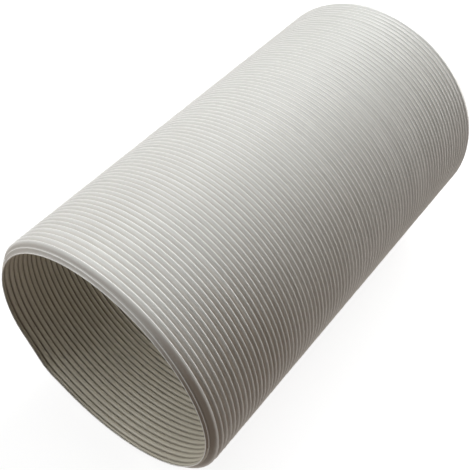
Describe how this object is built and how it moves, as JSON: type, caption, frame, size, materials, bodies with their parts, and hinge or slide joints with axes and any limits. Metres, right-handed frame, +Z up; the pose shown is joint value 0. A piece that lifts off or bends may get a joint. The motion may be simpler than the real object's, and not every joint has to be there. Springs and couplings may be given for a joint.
{
  "type": "air conditioner exhaust hose",
  "caption": "Round ribbed plastic exhaust hose, helically wound and pushed together, open at both ends, lying on its side.",
  "frame": {"origin": "centre of the bounding box's bottom: on the floor, below the middle of the hose", "axes": "+Y along the hose, from the mouth, with its smooth cuff, to the rear rim; +Z up, away from the floor; +X across the hose"},
  "size_m": [0.15, 0.263, 0.15],
  "materials": {
    "hose_plastic": "satin"
  },
  "bodies": {
    "root": {"hose": "hose_plastic"}
  },
  "joints": []
}
